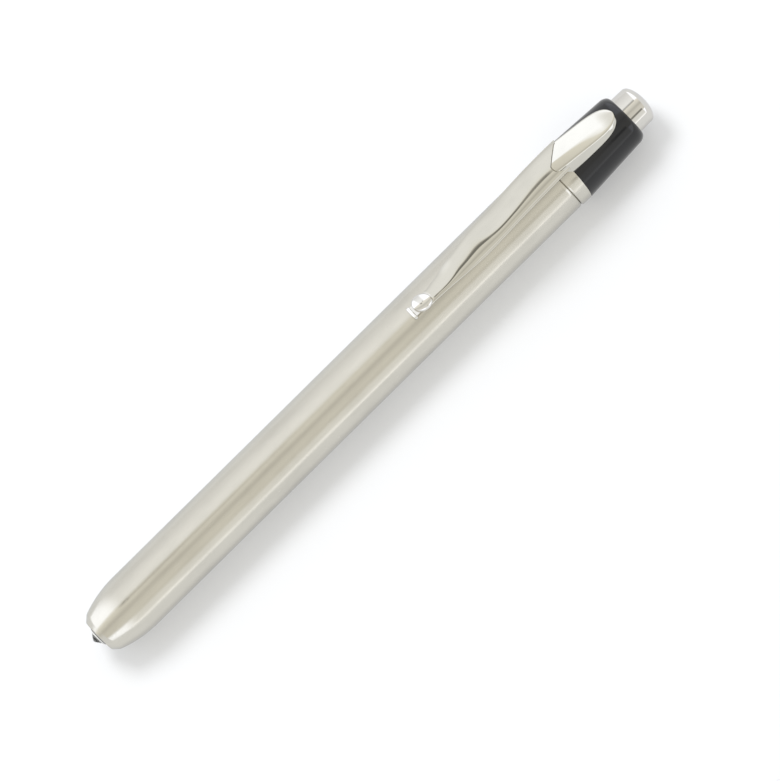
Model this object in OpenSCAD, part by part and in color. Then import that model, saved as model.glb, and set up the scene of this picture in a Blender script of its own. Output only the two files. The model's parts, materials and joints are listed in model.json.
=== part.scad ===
// Penlight with a push button and a pocket clip, lying on its side with the clip upwards.
// Stations along the pen are measured from the flat of the nose towards the button.

/* [Cells and barrel] */
// Diameter of a cell over its jacket
cell_d = 10.5; // [10:0.1:14.5]
// Length of a cell with its positive cap
cell_len = 44.5; // [40:0.5:60]
// Clearance between cell and barrel all round
cell_clearance = 0.1; // [0.05:0.05:0.3]
// Wall of the barrel tube
barrel_wall = 0.4; // [0.3:0.05:0.6]
// Length of the nose, from its flat to the straight barrel
nose_len = 9; // [8:0.5:12]
// Radius of the flat at the front of the nose
nose_face_r = 3.3; // [3.1:0.05:3.5]
// Angle of the cone behind the flat
nose_cone = 42; // [35:1:45]
// Length of the cone behind the flat
nose_cone_len = 0.9; // [0.6:0.1:1.1]
// Rounding between the cone and the long curve of the nose
nose_bend_r = 1.5; // [1:0.1:2]
// Radius of the opening in the nose
aperture_r = 2.3; // [2:0.05:2.3]
// How far the rear edge of the barrel is rolled in
barrel_edge_h = 0.3; // [0.1:0.05:0.3]
// Length of the rolled-in rear edge of the barrel
barrel_edge_len = 0.9; // [0.3:0.1:1.5]

/* [Bulb] */
// Length of the bulb from the lens to its contact
bulb_len = 23; // [22:0.5:28]
// How far the lens stands out of the nose
lens_out = 1.33; // [1:0.01:1.8]
// Radius of the lens
lens_r = 1.3; // [1:0.05:1.5]
// How far the bush stands out of the nose
bush_out = 0.5; // [0.2:0.05:0.7]
// Wall of the bulb's glass
glass_wall = 0.5; // [0.3:0.05:0.8]
// Wall of the bulb's screw shell
shell_wall = 0.3; // [0.2:0.05:0.4]
// Length of the bulb's screw shell
shell_len = 8.7; // [7:0.1:9.5]
// Wall of the threaded socket round the bulb
socket_wall = 0.55; // [0.3:0.05:0.7]

/* [Cap] */
// Length of the threaded spigot in the barrel
spigot_len = 3.8; // [3:0.1:6]
// Length of the band between barrel and collar, on its middle line
band_len = 2.4; // [2:0.1:4]
// How much further the band reaches at the clip than on its middle line
band_slant = 0.48; // [0:0.04:0.6]
// Radial thickness of the band where it meets the barrel
band_t = 0.8; // [0.6:0.05:1]
// Swell of the band over the barrel
band_swell = 0.12; // [0:0.02:0.2]
// Length of the collar on its middle line
collar_len = 14.2; // [13.8:0.1:18]
// Loss of radius of the collar from front to rear
collar_taper = 0.68; // [0:0.02:0.7]
// Height of the rounding at the rear edge of the collar
collar_edge_h = 1.2; // [0.4:0.1:1.2]
// Length of the rounding at the rear edge of the collar
collar_edge_len = 1.8; // [0.4:0.1:2.2]
// Wall of the ferrule's neck
neck_wall = 0.55; // [0.4:0.05:0.7]
// Thickness of the ferrule's web
web_t = 0.8; // [0.6:0.1:1.2]

/* [Button] */
// Diameter of the push button
button_d = 7.8; // [7:0.1:8]
// How far the button stands out of the collar
button_out = 4.4; // [3.4:0.1:6]
// Height of the domed end of the button
button_dome = 1.7; // [0.6:0.1:2]
// Travel of the button
button_travel = 1.3; // [0.8:0.1:1.5]
// Wire of the return spring
return_wire_d = 0.5; // [0.3:0.05:0.6]
// Wire of the battery spring
battery_wire_d = 0.7; // [0.5:0.05:0.8]

/* [Clip] */
// Thickness of the clip sheet
clip_t = 0.45; // [0.3:0.05:0.6]
// Width of the clip arm and of the tongue
clip_w = 6; // [5:0.1:6.4]
// Width of the arm at its neck, beside the ball
neck_w = 2.8; // [2:0.1:3.2]
// Length of the arm from its fold to the middle of the ball
arm_len = 33.3; // [24:0.1:45]
// Height of the fold above the barrel
clip_rise = 3.4; // [2.8:0.1:4.2]
// Height of the neck's upper face above the barrel
neck_rise = 0.85; // [0.8:0.05:1.2]
// Fall of the arm from its ridge to its near edge
crown_drop = 0.6; // [0.2:0.05:1]
// Further fall of the rolled edges of the arm
edge_roll = 0.1; // [0:0.05:0.4]
// Depth of the arrow-shaped fold between arm and tongue
fold_depth = 3.2; // [2.6:0.1:4]
// Sideways place of the fold's point, as a share of half the width
fold_point_share = -0.22; // [-0.3:0.01:0.3]
// How far the fold's point reaches ahead
fold_lead = 0.44; // [0:0.02:0.6]
// Bend of the fold's near branch: one is straight, more drops steeply from the point
fold_near_power = 4; // [1:0.5:5]
// Length of the tongue from the point of the fold to its rounded tip
tongue_len = 14.3; // [13:0.1:15]
// Width of the ball
ball_d = 3.6; // [3.2:0.1:4.5]
// Height of the ball
ball_h = 2; // [1.6:0.1:3]
// Sideways place of the ball
ball_y = -0.6; // [-0.8:0.1:0.8]
// Sideways place of the fold and of the tongue
fold_y = 0.2; // [-0.3:0.1:0.3]

/* [Hidden] */
$fn = 96;

// Fits, overrun of cuts and steps of curves
touch_gap = 0.02;
seat_gap = 0.05;
running_gap = 0.06;
overrun = 1;
arc_steps = 16;

// Radii of the cells and the barrel
jacket_t = 0.12;
cell_r = cell_d / 2;
can_r = cell_r - jacket_t;
bore_r = cell_r + cell_clearance;
barrel_r = bore_r + barrel_wall;
band_r = barrel_r + band_swell;

// Stations from the nose to the rear of the barrel
bulb_rear_a = bulb_len - lens_out;
front_cell_a = bulb_rear_a + touch_gap;
rear_cell_a = front_cell_a + cell_len + touch_gap;
cells_end_a = rear_cell_a + cell_len;
spigot_lead = 0.25;
spigot_a = cells_end_a + spigot_lead;
barrel_rear_a = spigot_a + spigot_len;

// Stations of the cap and of the whole pen
band_front_a = barrel_rear_a + seat_gap;
band_rear_a = band_front_a + band_len;
collar_rear_a = band_rear_a + collar_len;
button_tip_a = collar_rear_a + button_out;
mid_a = (button_tip_a - lens_out) / 2;

// Nose: a cone at the flat, then a bend and a long curve that runs into the barrel
bend_mid_r = nose_face_r + nose_cone_len * tan(nose_cone) - nose_bend_r * cos(nose_cone);
bend_mid_a = nose_cone_len + nose_bend_r * sin(nose_cone);
nose_fall = barrel_r - bend_mid_r;
nose_run = nose_len - bend_mid_a;
ogive_r = (pow(nose_run, 2) + pow(nose_fall, 2) - pow(nose_bend_r, 2)) / (2 * (nose_fall - nose_bend_r));
nose_turn = acos(nose_run / (ogive_r - nose_bend_r));
function nose_flat_r(depth) = nose_face_r + depth * (tan(nose_cone) - 1 / cos(nose_cone));

// Bush in the nose
bush_flange_t = 0.8;
bush_flange_share = 0.75;
bush_flange_r = aperture_r + (nose_flat_r(barrel_wall) - aperture_r) * bush_flange_share;
bush_rear_a = barrel_wall + touch_gap + bush_flange_t;
bush_groove_h = 0.45;
bush_groove_len = 0.2;
bush_groove_share = bush_groove_len / bush_out;
bush_r = aperture_r - touch_gap;
bush_bore_r = lens_r + running_gap;

// Bulb
socket_bore_r = bore_r - touch_gap - socket_wall;
shell_r = socket_bore_r - running_gap;
shell_bore_r = shell_r - shell_wall;
glass_r = shell_bore_r - running_gap;
contact_head_h = 0.55;
contact_head_r = 1.6;
contact_pin_r = 1.2;
insulator_cone_h = 0.8;
insulator_plug_h = 1.5;
insulator_edge_share = 0.85;
shell_rear_a = bulb_rear_a - contact_head_h - touch_gap - insulator_cone_h;
shell_front_a = shell_rear_a - shell_len;
socket_lead = 0.4;
glass_seat = 2.4;
glass_rear_a = shell_front_a + glass_seat;
glass_front_a = bush_rear_a + touch_gap;
glass_shoulder_h = 3.9;
lens_plug_h = 1.6;
lens_power = 0.75;
cavity_tip_share = 0.5;
bead_h = 2;
lead_r = 0.2;
lead_y = 1.3;
lead_front_a = glass_front_a + glass_shoulder_h + glass_seat;
filament_r = 0.15;
filament_set = 0.3;

// Cell
nub_r = 1.9;
nub_h = 0.8;
can_edge = 0.5;
can_recess = 1.1;
cell_plate_share = 0.74;
cell_plate_r = can_r * cell_plate_share;
plate_rim_h = 0.45;
plate_rim = 0.5;
seal_set = 0.5;
jacket_set = 0.35;

// Ferrule, switch and contact
neck_r = barrel_r - band_t - seat_gap;
pocket_r = neck_r - neck_wall;
insulator_set = 1.45;
insulator_len = 3.1;
insulator_front_a = band_front_a + insulator_set;
web_a = insulator_front_a + insulator_len + touch_gap;
web_rear_a = web_a + web_t;
rear_pocket_len = 4.2;
ferrule_rear_a = web_rear_a + rear_pocket_len;
cup_wall = 0.85;
plate_set = 0.55;
plate_t = 0.6;
plate_a = insulator_front_a + plate_set;
plate_rear_a = plate_a + plate_t;
plate_r = pocket_r - touch_gap - cup_wall;
boss_r = 0.85;
boss_len = 0.65;
pin_r = 0.8;
pin_gap = 0.2;
pin_bore_r = pin_r + pin_gap;
pin_tip_a = plate_rear_a + boss_len + button_travel + seat_gap;

// Collar and button
button_r = button_d / 2;
button_wall = 0.6;
button_bore_r = button_r - button_wall;
flange = 0.5;
flange_t = 0.9;
flange_r = button_r + flange;
cavity_r = flange_r + running_gap + seat_gap;
lip_len = 3.7;
lip_a = collar_rear_a - lip_len;
flange_rear_a = lip_a - seat_gap;
flange_a = flange_rear_a - flange_t;
button_dome_a = button_tip_a - button_dome;
pin_head_t = 0.9;
pin_head_a = button_dome_a - touch_gap - pin_head_t;
band_edge_h = 0.5;
band_edge_len = 0.9;
slant_angle = atan(band_slant / band_r);

// Springs
ring_steps = 8;
wire_sides = 6;
return_turns = 5;
return_r = button_bore_r + (flange_r - button_bore_r) / 2;
battery_turns = 4;
battery_front_r = cell_plate_r - plate_rim - battery_wire_d;
battery_rear_r = plate_r - battery_wire_d / 2;

// Clip fold and ball
fold_set = 0.75;
fold_a = band_front_a + fold_set;
fold_near_share = 1 + fold_point_share;
fold_gap = 0.1;
fold_h = barrel_r + clip_rise;
shoulder_a = fold_a + fold_depth;
ball_r = ball_d / 2;
ball_a = fold_a - arm_len;
ball_gap = 0.12;
neck_share = 1.3;
neck_a = ball_a + ball_r * neck_share;
neck_h = barrel_r + neck_rise;

// Clip arm
arm_taper_share = 0.6;
arm_rise_power = 1.3;
crown_share = 0.4;
far_fall_share = 0.75;
roll_share = 0.78;
arm_rows = 24;
arm_columns = 14;
lip_r = 0.38;
lip_w = 2.8;
lip_rise = 0.7;
lip_gap = 0.4;
lip_bar_a = ball_a - ball_r - lip_gap - lip_r;

// Clip tongue
tongue_tip_a = fold_a + tongue_len;
tongue_land_share = 0.8;
tongue_blend = 0.4;
tongue_far_spread_power = 1.8;
tongue_near_spread_power = 6;
tongue_far_power = 4.4;
tongue_far_tip_power = 2.6;
tongue_near_power = 16;
tongue_near_share = 0.94;
tongue_lean_share = 0.25;
tongue_crown_share = 0.18;
tongue_crown_power = 1.4;
tongue_plan_power = 6;
tongue_solid = 2.2;
tip_flat = 0.02;
tongue_rows = 20;
tongue_columns = 36;

// Leg from the band to the tongue
leg_w = 1.2;
leg_set = 1.5;
leg_sunk = 0.3;
leg_a = fold_a + leg_set;

// Oval arc in points of radius and station: 0 degrees faces the nose, 90 outwards and 180 the button
function oval(r, a, height, length, from, to) = [for (i = [0:arc_steps])
    let (turn = from + (to - from) * i / arc_steps)
    [r + height * sin(turn), a - length * cos(turn)]];
function arc(r, a, radius, from, to) = oval(r, a, radius, radius, from, to);

// Outline of the nose at a depth under its surface, from the flat to the straight barrel
function nose_outline(depth) = concat(
    [[nose_flat_r(depth), depth]],
    arc(bend_mid_r, bend_mid_a, nose_bend_r - depth, 90 - nose_cone, nose_turn),
    arc(barrel_r - ogive_r, nose_len, ogive_r - depth, nose_turn, 90));

function reversed(list) = [for (i = [len(list) - 1:-1:0]) list[i]];

// Places a station, a sideways offset and a height over the pen's axis in the lying pen
function lie(a, y, h) = [a - mid_a, y, band_r + h];

// Lays down what is drawn along Z, so that its -X side, the clip's, faces up
module lay() translate([-mid_a, 0, band_r]) rotate([0, 90, 0]) children();

// Solid of revolution about the pen's axis, from points of radius and station
module turned(points) lay() rotate_extrude() polygon(points);

// Ring or disc between two stations
module ring(inner, outer, from, to)
    turned([[inner, from], [outer, from], [outer, to], [inner, to]]);

// Barrel: drawn tube with its nose
module barrel() color("silver") turned(concat(
    [[aperture_r, 0]],
    nose_outline(0),
    oval(barrel_r - barrel_edge_h, barrel_rear_a - barrel_edge_len, barrel_edge_h, barrel_edge_len, 90, 180),
    [[bore_r, barrel_rear_a]],
    reversed(nose_outline(barrel_wall)),
    [[aperture_r, barrel_wall]]));

// Bush that centres the lens in the nose, with a groove where it leaves the nose
module lens_bush() color("white") turned([
    [bush_bore_r, bush_rear_a],
    [bush_flange_r, bush_rear_a],
    [bush_flange_r, barrel_wall + touch_gap],
    [bush_r, barrel_wall + touch_gap],
    [bush_r, 0],
    [aperture_r - bush_groove_h, 0],
    [aperture_r - bush_groove_h, -bush_groove_len],
    [bush_r + (bush_bore_r - bush_r) * bush_groove_share, -bush_groove_len],
    [bush_bore_r, -bush_out]]);

// Glass of the bulb, with a solid lens at its tip
lens_dome = [for (i = [0:arc_steps])
    let (along_share = i / arc_steps)
    [lens_r * pow(along_share, lens_power), -lens_out + (lens_out - bush_out) * along_share]];

module bulb_glass() color("dimgray", 0.8) turned(concat(lens_dome, [
    [lens_r, glass_front_a],
    [glass_r, glass_front_a + glass_shoulder_h],
    [glass_r, glass_rear_a],
    [glass_r - glass_wall, glass_rear_a],
    [glass_r - glass_wall, glass_front_a + glass_shoulder_h + glass_wall],
    [lens_r * cavity_tip_share, glass_front_a + lens_plug_h],
    [0, glass_front_a + lens_plug_h]]));

// Runs something once for each of the bulb's two leads, along the lead's own axis
module at_leads() lay() for (side = [-1, 1]) translate([0, side * lead_y, 0]) children();

// Glass bead that holds the leads
module bulb_bead() color("lightblue") difference() {
    ring(0, glass_r - glass_wall - touch_gap, glass_rear_a - bead_h, glass_rear_a);
    at_leads() translate([0, 0, glass_rear_a - bead_h - overrun])
        cylinder(r = lead_r + touch_gap, h = bead_h + 2 * overrun);
}

// Two lead wires from the filament to the base
module bulb_leads() color("silver") at_leads() translate([0, 0, lead_front_a])
    cylinder(r = lead_r, h = shell_rear_a - insulator_plug_h - touch_gap - lead_front_a);

// Filament between the leads
module bulb_filament() color("orange") {
    span = 2 * (lead_y - lead_r - touch_gap);
    lay() translate([0, -span / 2, lead_front_a + filament_set]) rotate([-90, 0, 0])
        cylinder(r = filament_r, h = span);
}

// Screw shell of the bulb
module bulb_base() color("goldenrod") ring(shell_bore_r, shell_r, shell_front_a, shell_rear_a);

// Insulator that closes the shell round the contact
module bulb_insulator() color("black") turned([
    [contact_pin_r + touch_gap, shell_rear_a - insulator_plug_h],
    [shell_bore_r - touch_gap, shell_rear_a - insulator_plug_h],
    [shell_bore_r - touch_gap, shell_rear_a],
    [shell_bore_r * insulator_edge_share, shell_rear_a],
    [contact_head_r, shell_rear_a + insulator_cone_h],
    [contact_pin_r + touch_gap, shell_rear_a + insulator_cone_h]]);

// Centre contact of the bulb, with a rounded head
contact_dome = [for (i = [0:arc_steps])
    let (turn = 90 * i / arc_steps)
    [contact_head_r * cos(turn), bulb_rear_a - contact_head_h * (1 - sin(turn))]];

module bulb_contact() color("lightgray") turned(concat(
    [[0, shell_rear_a - insulator_plug_h], [contact_pin_r, shell_rear_a - insulator_plug_h],
    [contact_pin_r, bulb_rear_a - contact_head_h]],
    contact_dome));

// Threaded socket for the bulb, fixed in the barrel
module bulb_socket() color("gold")
    ring(socket_bore_r, bore_r - touch_gap, shell_front_a + socket_lead, shell_rear_a - socket_lead);

// Steel can of a cell with its positive cap towards the nose
module cell_can(a) turned([
    [0, a], [nub_r, a], [nub_r, a + nub_h],
    [can_r - can_edge, a + nub_h], [can_r, a + nub_h + can_edge],
    [can_r, a + cell_len - can_recess], [0, a + cell_len - can_recess]]);

// Jacket of a cell, turned in over the seal
module cell_jacket(a) {
    rear_a = a + cell_len - jacket_set;
    turned([
        [can_r + touch_gap, a + nub_h + can_edge], [cell_r, a + nub_h + can_edge],
        [cell_r, rear_a], [can_r - can_edge, rear_a],
        [can_r - can_edge, rear_a - jacket_t], [can_r + touch_gap, rear_a - jacket_t]]);
}

// Seal between the can and the negative plate
module cell_seal(a)
    ring(cell_plate_r + touch_gap, can_r, a + cell_len - can_recess + touch_gap, a + cell_len - seal_set);

// Negative plate of a cell
module cell_plate(a) {
    base_a = a + cell_len - can_recess + touch_gap;
    turned([
        [0, base_a], [cell_plate_r, base_a], [cell_plate_r, base_a + plate_rim_h],
        [cell_plate_r - plate_rim, base_a + plate_rim_h], [cell_plate_r - plate_rim, a + cell_len],
        [0, a + cell_len]]);
}

module front_cell_can() color("silver") cell_can(front_cell_a);
module front_cell_jacket() color("slategray") cell_jacket(front_cell_a);
module front_cell_seal() color("dimgray") cell_seal(front_cell_a);
module front_cell_plate() color("silver") cell_plate(front_cell_a);
module rear_cell_can() color("silver") cell_can(rear_cell_a);
module rear_cell_jacket() color("slategray") cell_jacket(rear_cell_a);
module rear_cell_seal() color("dimgray") cell_seal(rear_cell_a);
module rear_cell_plate() color("silver") cell_plate(rear_cell_a);

// Coil spring along the pen: an unbroken round wire that can narrow from one end to the other
function coil_centre(r, a, turns, share) =
    let (turn = 360 * turns * share, radius = r[0] + (r[1] - r[0]) * share)
    [radius * cos(turn), radius * sin(turn), a[0] + (a[1] - a[0]) * share];

function coil_ring(r, a, turns, wire_r, share) =
    let (turn = 360 * turns * share,
        centre = coil_centre(r, a, turns, share),
        out = [cos(turn), sin(turn), 0],
        run = (a[1] - a[0]) / (2 * PI * turns),
        ahead = [-r[0] * sin(turn), r[0] * cos(turn), run] / norm([r[0], run]),
        up = cross(ahead, out))
    [for (k = [0:wire_sides - 1])
        let (side = 360 * k / wire_sides) centre + wire_r * (cos(side) * out + sin(side) * up)];

module coil(name, r, a, turns, wire_r) {
    steps = turns * ring_steps;
    rings = [for (i = [0:steps]) coil_ring(r, a, turns, wire_r, i / steps)];
    centres = [for (i = [0:steps]) coil_centre(r, a, turns, i / steps)];
    gap = min([for (i = [0:steps - ring_steps + 1]) for (j = [i + ring_steps - 1:steps])
        norm(centres[i] - centres[j])]) - 2 * wire_r;
    echo(str("least gap of ", name), gap);
    sides = [for (i = [0:steps - 1]) for (k = [0:wire_sides - 1])
        let (next = (k + 1) % wire_sides, here = i * wire_sides, there = here + wire_sides)
        each [[here + k, there + k, there + next], [here + k, there + next, here + next]]];
    last = steps * wire_sides;
    ends = [for (k = [1:wire_sides - 2]) each [[0, k, k + 1], [last, last + k + 1, last + k]]];
    lay() polyhedron([for (one = rings) each one], concat(sides, ends));
}

// Spring between the rear cell and the contact plate
module battery_spring() color("lightgray") {
    wire_r = battery_wire_d / 2;
    inset = wire_r + touch_gap;
    coil("battery_spring", [battery_front_r, battery_rear_r], [cells_end_a + inset, plate_a - inset],
        battery_turns, wire_r);
}

// Spring between the ferrule's web and the rim of the button
module return_spring() color("lightgray") {
    wire_r = return_wire_d / 2;
    inset = wire_r + touch_gap;
    coil("return_spring", [return_r, return_r], [web_rear_a + inset, flange_a - inset], return_turns, wire_r);
}

// Metal sleeve that screws into the barrel and carries the band, the collar and the switch
module ferrule() color("silver") turned([
    [pocket_r, spigot_a], [bore_r - seat_gap, spigot_a], [bore_r - seat_gap, barrel_rear_a],
    [neck_r, barrel_rear_a], [neck_r, ferrule_rear_a], [pocket_r, ferrule_rear_a],
    [pocket_r, web_rear_a], [pin_bore_r, web_rear_a], [pin_bore_r, web_a], [pocket_r, web_a]]);

// Nylon cup that keeps the contact plate away from the ferrule
module switch_insulator() color("ivory") turned([
    [plate_r + touch_gap, insulator_front_a], [pocket_r - touch_gap, insulator_front_a],
    [pocket_r - touch_gap, web_a - touch_gap], [pin_bore_r, web_a - touch_gap],
    [pin_bore_r, plate_rear_a + touch_gap], [plate_r + touch_gap, plate_rear_a + touch_gap]]);

// Contact plate with a boss that the pin meets
module contact_plate() color("gold") turned([
    [0, plate_a], [plate_r, plate_a], [plate_r, plate_rear_a],
    [boss_r, plate_rear_a], [boss_r, plate_rear_a + boss_len], [0, plate_rear_a + boss_len]]);

// Space behind the slanted face between band and collar
module behind_slant(gap) {
    reach = 2 * band_r;
    lay() translate([0, 0, band_rear_a + gap]) rotate([0, slant_angle, 0]) translate([-reach, -reach, 0])
        cube([2 * reach, 2 * reach, collar_len + button_out]);
}

// Band of the clip round the neck, with the leg that rises to the tongue
module clip_band() color("silver") {
    leg_foot_h = barrel_r - leg_sunk;
    under_h = tongue_ridge(leg_a + clip_t) - clip_t;
    under_half_w = (clip_w / 2 - clip_t) * tongue_near_share;
    under_foot_h = tongue_foot(leg_a, fold_y - under_half_w);
    leg_top_h = under_h - (under_h - under_foot_h) * tongue_fall(leg_w / 2 / under_half_w) - touch_gap;
    difference() {
        turned(concat(
            [[neck_r + seat_gap, band_front_a]],
            oval(band_r - band_edge_h, band_front_a + band_edge_len, band_edge_h, band_edge_len, 0, 90),
            [[band_r, band_rear_a + overrun], [neck_r + seat_gap, band_rear_a + overrun]]));
        behind_slant(0);
    }
    translate(lie(leg_a, fold_y - leg_w / 2, leg_foot_h)) cube([clip_t, leg_w, leg_top_h - leg_foot_h]);
}

// Radius of the collar's surface at a station
function collar_r(a) = band_r - collar_taper * (a - band_rear_a) / collar_len;

// Black collar with the cavity and the lip that hold the button
collar_round_h = min(collar_edge_h, collar_r(collar_rear_a) - button_r - running_gap - touch_gap);

module collar() color("black") intersection() {
    turned(concat(
        [[neck_r + seat_gap, band_rear_a - overrun], [band_r, band_rear_a - overrun], [band_r, band_rear_a]],
        oval(collar_r(collar_rear_a) - collar_round_h, collar_rear_a - collar_edge_len, collar_round_h,
            collar_edge_len, 90, 180),
        [[button_r + running_gap, collar_rear_a], [button_r + running_gap, lip_a], [cavity_r, lip_a],
        [cavity_r, ferrule_rear_a + touch_gap], [neck_r + seat_gap, ferrule_rear_a + touch_gap]]));
    behind_slant(touch_gap);
}

// Push button: a deep cup with a flange inside the collar and a domed end
button_end = [for (i = [0:arc_steps])
    let (turn = 90 * i / arc_steps)
    [button_r * cos(turn), button_dome_a + button_dome * sin(turn)]];

module push_button() color("gainsboro") turned(concat(
    [[button_bore_r, flange_a], [flange_r, flange_a], [flange_r, flange_rear_a], [button_r, flange_rear_a]],
    button_end,
    [[0, button_dome_a], [button_bore_r, button_dome_a]]));

// Pin that the button drives onto the contact plate, with the head seated in the button
module switch_pin() color("gold") turned([
    [0, pin_tip_a], [pin_r, pin_tip_a], [pin_r, pin_head_a],
    [button_bore_r - touch_gap, pin_head_a], [button_bore_r - touch_gap, pin_head_a + pin_head_t],
    [0, pin_head_a + pin_head_t]]);

// Closed sheet between an upper and a lower grid of points, rows along the pen and columns across it
module sheet(upper, lower) {
    rows = len(upper);
    columns = len(upper[0]);
    count = rows * columns;
    function at(i, j) = i * columns + j;
    skins = [for (i = [0:rows - 2]) for (j = [0:columns - 2])
        let (p = at(i, j), q = at(i, j + 1), r = at(i + 1, j + 1), s = at(i + 1, j))
        each [[p, q, r], [p, r, s], [count + r, count + q, count + p], [count + s, count + r, count + p]]];
    rim = concat(
        [for (j = [0:columns - 1]) at(0, j)],
        [for (i = [1:rows - 1]) at(i, columns - 1)],
        [for (j = [columns - 2:-1:0]) at(rows - 1, j)],
        [for (i = [rows - 2:-1:1]) at(i, 0)]);
    edges = [for (k = [0:len(rim) - 1])
        let (p = rim[k], q = rim[(k + 1) % len(rim)])
        each [[q, p, count + p], [q, count + p, count + q]]];
    polyhedron(
        concat([for (row = upper) each row], [for (row = lower) each row]),
        concat(skins, edges));
}

// Arrow-shaped line of the fold across the clip
function fold_reach_share(off_share) =
    off_share > 0 ? off_share : fold_near_share * pow(-off_share / fold_near_share, fold_near_power);
function fold_line(across_share) = fold_depth * fold_reach_share(across_share - fold_point_share) - fold_lead;

// Clip arm: middle line, half width, ridge height and fall towards the edges
function arm_share(a) = min(1, max(0, (a - neck_a) / (fold_a - neck_a)));
function arm_y(a) = fold_y + (ball_y - fold_y) * pow(1 - arm_share(a), 2);
function arm_half_w(a) =
    (neck_w + (clip_w - neck_w) * sin(90 * min(1, arm_share(a) / arm_taper_share))) / 2;
function arm_ridge(a) = neck_h + (fold_h - neck_h) * (1 - pow(1 - arm_share(a), arm_rise_power));
function arm_fall(a, across_share) =
    let (edge_share = max(0, (abs(across_share) - roll_share) / (1 - roll_share)),
        side_share = across_share > 0 ? far_fall_share : 1,
        crown = crown_share * pow(across_share, 2) + (1 - crown_share) * pow(across_share, 4))
    side_share * (crown_drop * crown + edge_roll * pow(edge_share, 2)) * pow(2 * arm_half_w(a) / clip_w, 2);

function arm_point(i, j, depth) =
    let (across_share = sin(90 * (2 * j / arm_columns - 1)),
        end_a = fold_a - fold_gap + fold_line(across_share),
        a = ball_a + (end_a - ball_a) * i / arm_rows)
    lie(a, arm_y(a) + arm_half_w(a) * across_share, arm_ridge(a) - arm_fall(a, across_share) - depth);

function arm_grid(depth) = [for (i = [0:arm_rows]) [for (j = [0:arm_columns]) arm_point(i, j, depth)]];

// Ball of the arm, turned about an upright axis
module clip_ball() translate(lie(ball_a, ball_y, barrel_r + ball_gap)) rotate_extrude() polygon([
    for (i = [0:arc_steps])
        let (turn = 180 * i / arc_steps)
        [ball_r * sin(turn), ball_h * (1 - cos(turn)) / 2]]);

// Turned-up lip ahead of the ball, on a narrow tab
module clip_lip() {
    bar = lip_w - 2 * lip_r;
    low_y = ball_y - bar / 2;
    for (y = [low_y, low_y + bar]) translate(lie(lip_bar_a, y, barrel_r + lip_rise)) sphere(r = lip_r);
    translate(lie(lip_bar_a, low_y, barrel_r + lip_rise)) rotate([-90, 0, 0]) cylinder(r = lip_r, h = bar);
    translate(lie(lip_bar_a, low_y, barrel_r + lip_rise - lip_r / 2))
        cube([ball_a - lip_bar_a, bar, lip_r]);
}

module clip_arm() color("silver") {
    sheet(arm_grid(0), arm_grid(clip_t));
    clip_ball();
    clip_lip();
}

// Clip tongue: ridge height, half width and foot on the collar at a station
tongue_land_a = fold_a + tongue_len * tongue_land_share;
tongue_slope = (fold_h - collar_r(tongue_land_a) - clip_t) / (tongue_land_a - fold_a);

function tongue_ridge(a) =
    let (ramp = fold_h - tongue_slope * (a - fold_a), floor = collar_r(a) + clip_t)
    (ramp + floor + sqrt(pow(ramp - floor, 2) + pow(tongue_blend, 2))) / 2;
function tongue_half_w(a, tip_a, inset) =
    let (along_share = min(1, max(0, (a - shoulder_a) / (tip_a - shoulder_a))))
    (clip_w / 2 - inset) * sqrt(1 - pow(along_share, tongue_plan_power));
function tongue_foot(a, side_y) = sqrt(pow(collar_r(a) + seat_gap, 2) - pow(side_y, 2));
function signed_power(value, power) = sign(value) * pow(abs(value), power);

// Sideways place of a point of the tongue as a share of half its width: the near wall leans inwards
function tongue_across(turn, power) = signed_power(cos(turn), power)
    * (cos(turn) < 0 ? 1 - tongue_lean_share * pow(sin(turn), power) : 1);
// Height of that point as a share of the ridge's: the top falls a little to the near wall
function tongue_fall(across_share) = tongue_crown_share * pow(across_share, tongue_crown_power);
function tongue_rise(turn, power) = pow(sin(turn), power)
    * (cos(turn) < 0 ? 1 - tongue_fall(-tongue_across(turn, power)) : 1);

function tongue_point(i, j, inset, tip_a) =
    let (column_share = 2 * j / tongue_columns - 1,
        spread_power = column_share < 0 ? tongue_near_spread_power : tongue_far_spread_power,
        turn = 90 * (1 - signed_power(column_share, spread_power)),
        front_power = cos(turn) < 0 ? tongue_near_power : tongue_far_power,
        tip_power = cos(turn) < 0 ? tongue_near_power : tongue_far_tip_power,
        front_a = fold_a + fold_gap + fold_line(tongue_across(turn, 2 / front_power)),
        along_share = sin(90 * i / tongue_rows),
        a = front_a + (tip_a - tip_flat - front_a) * along_share,
        power = 2 / (front_power + (tip_power - front_power) * along_share),
        half_w = tongue_half_w(a, tip_a, inset) * (cos(turn) < 0 ? tongue_near_share : 1),
        foot = tongue_foot(a, fold_y + half_w * sign(cos(turn))))
    lie(a, fold_y + half_w * tongue_across(turn, power),
        foot + (tongue_ridge(a) - inset - foot) * tongue_rise(turn, power));

function tongue_grid(inset, tip_a) =
    [for (i = [0:tongue_rows]) [for (j = [0:tongue_columns]) tongue_point(i, j, inset, tip_a)]];

module clip_tongue() color("silver")
    sheet(tongue_grid(0, tongue_tip_a), tongue_grid(clip_t, tongue_tip_a - tongue_solid));

barrel();
lens_bush();
bulb_glass();
bulb_bead();
bulb_leads();
bulb_filament();
bulb_base();
bulb_insulator();
bulb_contact();
bulb_socket();
front_cell_can();
front_cell_jacket();
front_cell_seal();
front_cell_plate();
rear_cell_can();
rear_cell_jacket();
rear_cell_seal();
rear_cell_plate();
battery_spring();
ferrule();
switch_insulator();
contact_plate();
clip_band();
clip_tongue();
clip_arm();
collar();
push_button();
switch_pin();
return_spring();
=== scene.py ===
"""Looks of a penlight that lies on its side with its clip up: fine meshes, materials, light and camera."""
import json
import math

import bmesh
import bpy
import numpy as np
from mathutils import Matrix, Vector


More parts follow.
